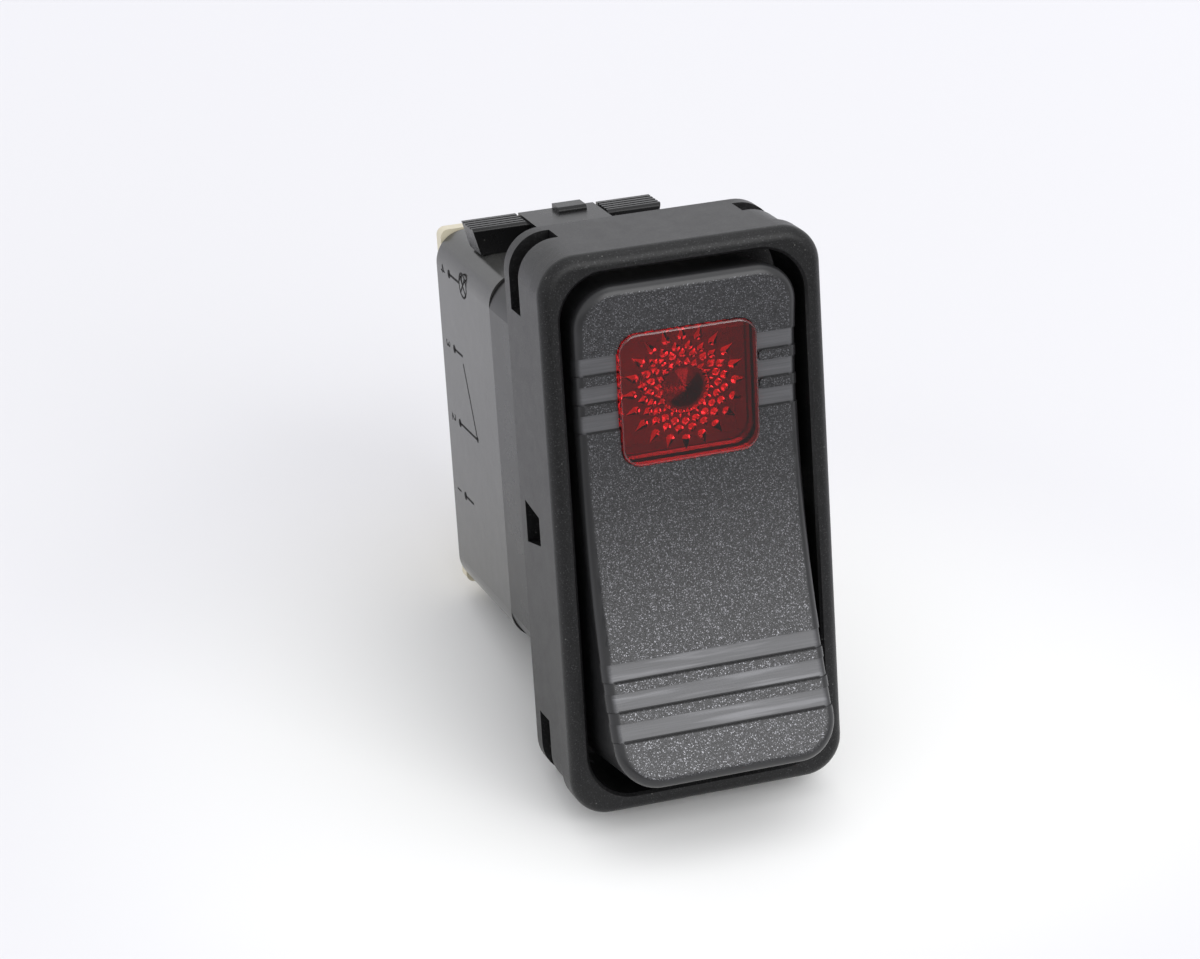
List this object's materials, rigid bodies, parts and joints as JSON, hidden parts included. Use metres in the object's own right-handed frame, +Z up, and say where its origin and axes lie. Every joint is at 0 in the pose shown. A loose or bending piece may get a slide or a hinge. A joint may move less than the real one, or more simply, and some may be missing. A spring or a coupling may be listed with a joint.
{
  "type": "rocker switch",
  "caption": "Illuminated snap-in panel rocker switch with a ringed bezel, dished rocker, red faceted lens, finger-grip snap arms and quick-connect tabs.",
  "frame": {"origin": "centre of the bezel's rear face, which seats on the panel, on the axis of the body", "axes": "+Y goes into the panel, away from the person; +Z up along the bezel's long side; +X to the right as seen from the front"},
  "size_m": [0.026, 0.0605, 0.052],
  "materials": {
    "bracket_black": "fine spark texture",
    "rocker_black": "spark texture with satin bars",
    "carrier_black": "satin",
    "housing_black": "satin",
    "base_cream": "satin",
    "lens_red": "clear, faceted behind",
    "lamp_glass": "clear",
    "board_green": "satin",
    "contact_silver": "polished",
    "tab_brass": "tin-plated, satin",
    "blade_copper": "satin",
    "spring_steel": "satin",
    "plunger_white": "satin"
  },
  "bodies": {
    "switch_body": {"bezel_bracket": "bracket_black", "housing": "housing_black", "terminal_base": "base_cream", "fixed_contacts": "contact_silver", "lamp_leaf_left": "spring_steel", "lamp_leaf_right": "spring_steel", "terminal_1": "tab_brass", "terminal_2": "tab_brass", "terminal_3": "tab_brass", "terminal_4": "tab_brass", "terminal_5": "tab_brass", "terminal_6": "tab_brass", "terminal_7": "tab_brass", "terminal_8": "tab_brass"},
    "rocker": {"rocker_cap": "rocker_black", "rocker_carrier": "carrier_black", "lens": "lens_red", "lamp_bulb": "lamp_glass", "lamp_board": "board_green", "plunger_left": "plunger_white", "plunger_right": "plunger_white", "plunger_spring_left": "spring_steel", "plunger_spring_right": "spring_steel"},
    "blade_left": {"contact_blade_left": "blade_copper", "moving_contacts_left": "contact_silver"},
    "blade_right": {"contact_blade_right": "blade_copper", "moving_contacts_right": "contact_silver"}
  },
  "joints": [
    {"name": "rocker_tilt", "type": "hinge", "parent": "switch_body", "child": "rocker", "pos_m": [0, -0.0086, 0], "axis": [1, 0, 0], "range_deg": [0, 15]},
    {"name": "blade_left_tilt", "type": "hinge", "parent": "switch_body", "child": "blade_left", "pos_m": [0, 0.015, 0], "axis": [1, 0, 0], "range_deg": [-13, 0]},
    {"name": "blade_right_tilt", "type": "hinge", "parent": "switch_body", "child": "blade_right", "pos_m": [0, 0.015, 0], "axis": [1, 0, 0], "range_deg": [-13, 0]}
  ],
  "couplings": [
    {"joint": "blade_left_tilt", "follows": "rocker_tilt", "ratio": -0.86667},
    {"joint": "blade_right_tilt", "follows": "rocker_tilt", "ratio": -0.86667}
  ]
}
